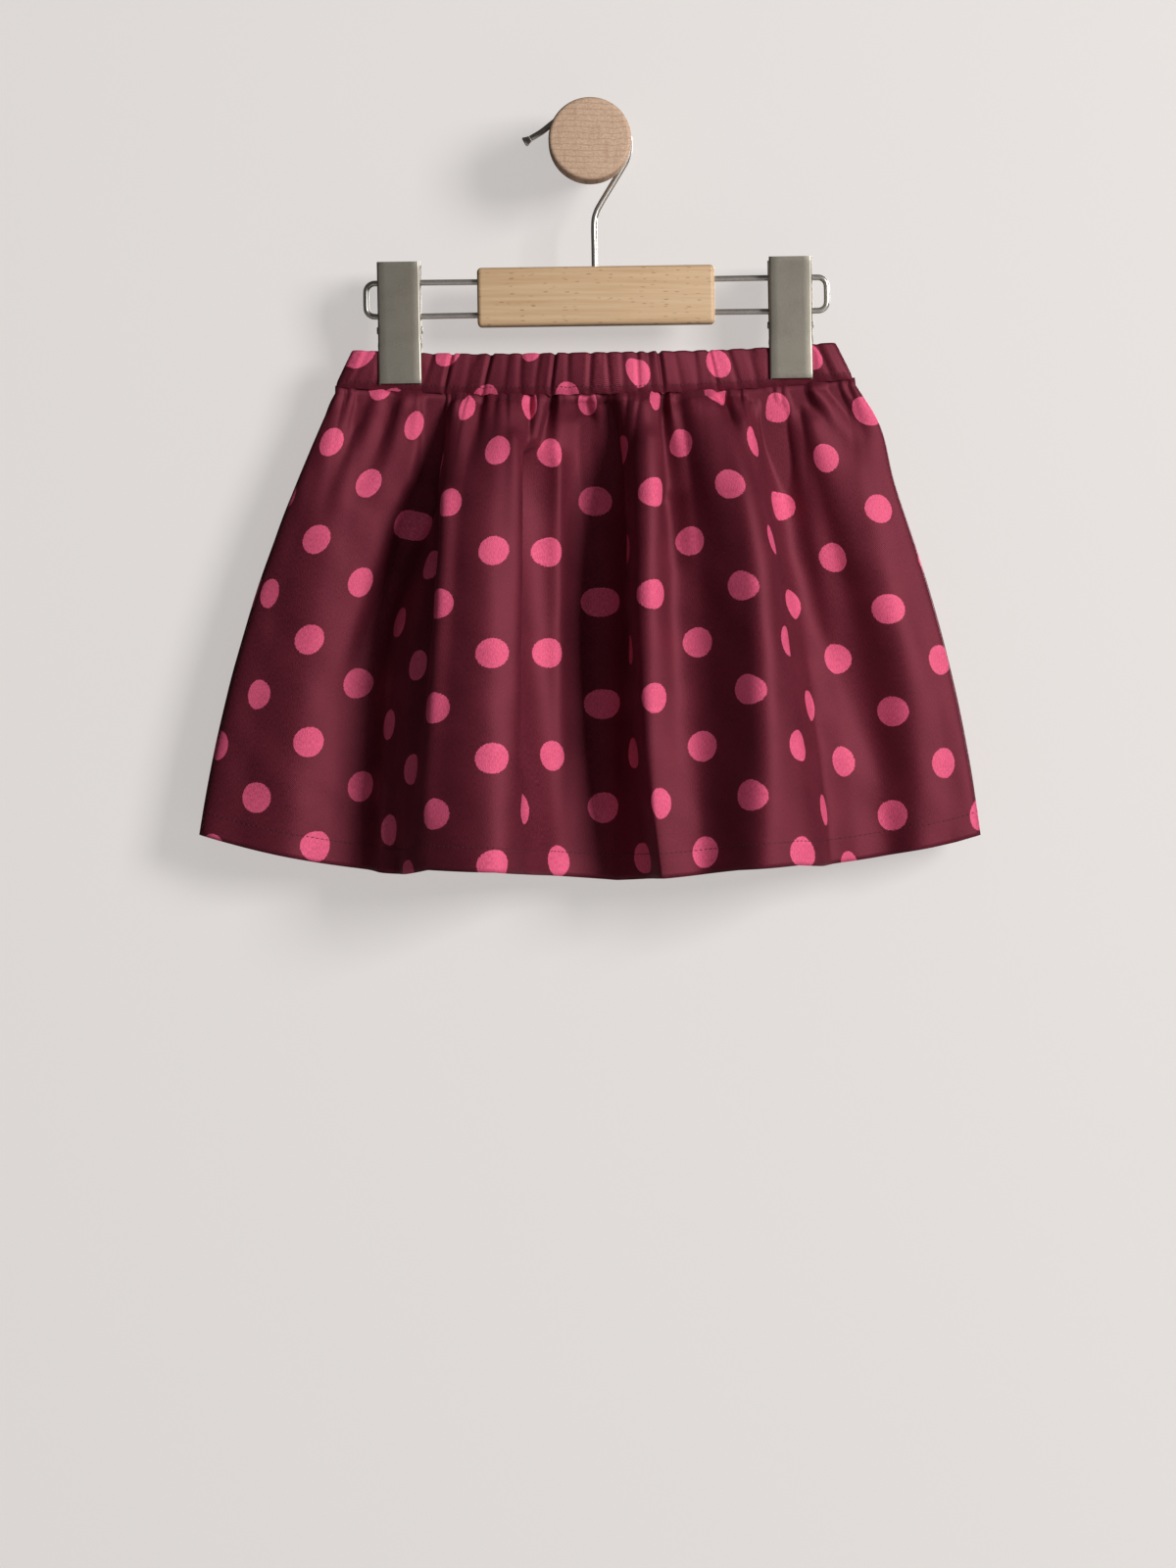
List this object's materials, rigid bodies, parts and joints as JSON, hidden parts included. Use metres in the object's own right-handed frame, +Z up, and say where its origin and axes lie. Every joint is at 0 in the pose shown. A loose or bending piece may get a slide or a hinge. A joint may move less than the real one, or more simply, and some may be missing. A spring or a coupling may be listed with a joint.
{
  "type": "gathered skirt on a clip hanger and wall peg",
  "caption": "Child's gathered pull-on skirt with an elasticated waistband, clipped to a wooden and wire hanger that hangs on a turned wall peg.",
  "frame": {"origin": "centre of the wall peg's flat back face, which lies against the wall", "axes": "+Y into the wall along the peg, +Z up, +X to the right of someone who faces the wall"},
  "size_m": [0.4175, 0.0885, 0.4152],
  "materials": {
    "dotted_cloth": "satin",
    "peg_wood": "bare",
    "bar_wood": "satin",
    "wire": "bright",
    "clip_metal": "satin"
  },
  "bodies": {
    "root": {"skirt_front": "dotted_cloth", "skirt_back": "dotted_cloth", "waistband_front": "dotted_cloth", "waistband_back": "dotted_cloth", "wall_peg": "peg_wood", "hanger_bar": "bar_wood", "hanger_hook": "wire", "hook_cap": "wire", "wire_loop_left": "wire", "wire_loop_right": "wire", "clip_left_front": "clip_metal", "clip_left_back": "clip_metal", "clip_left_pin": "clip_metal", "clip_right_front": "clip_metal", "clip_right_back": "clip_metal", "clip_right_pin": "clip_metal"}
  },
  "joints": []
}
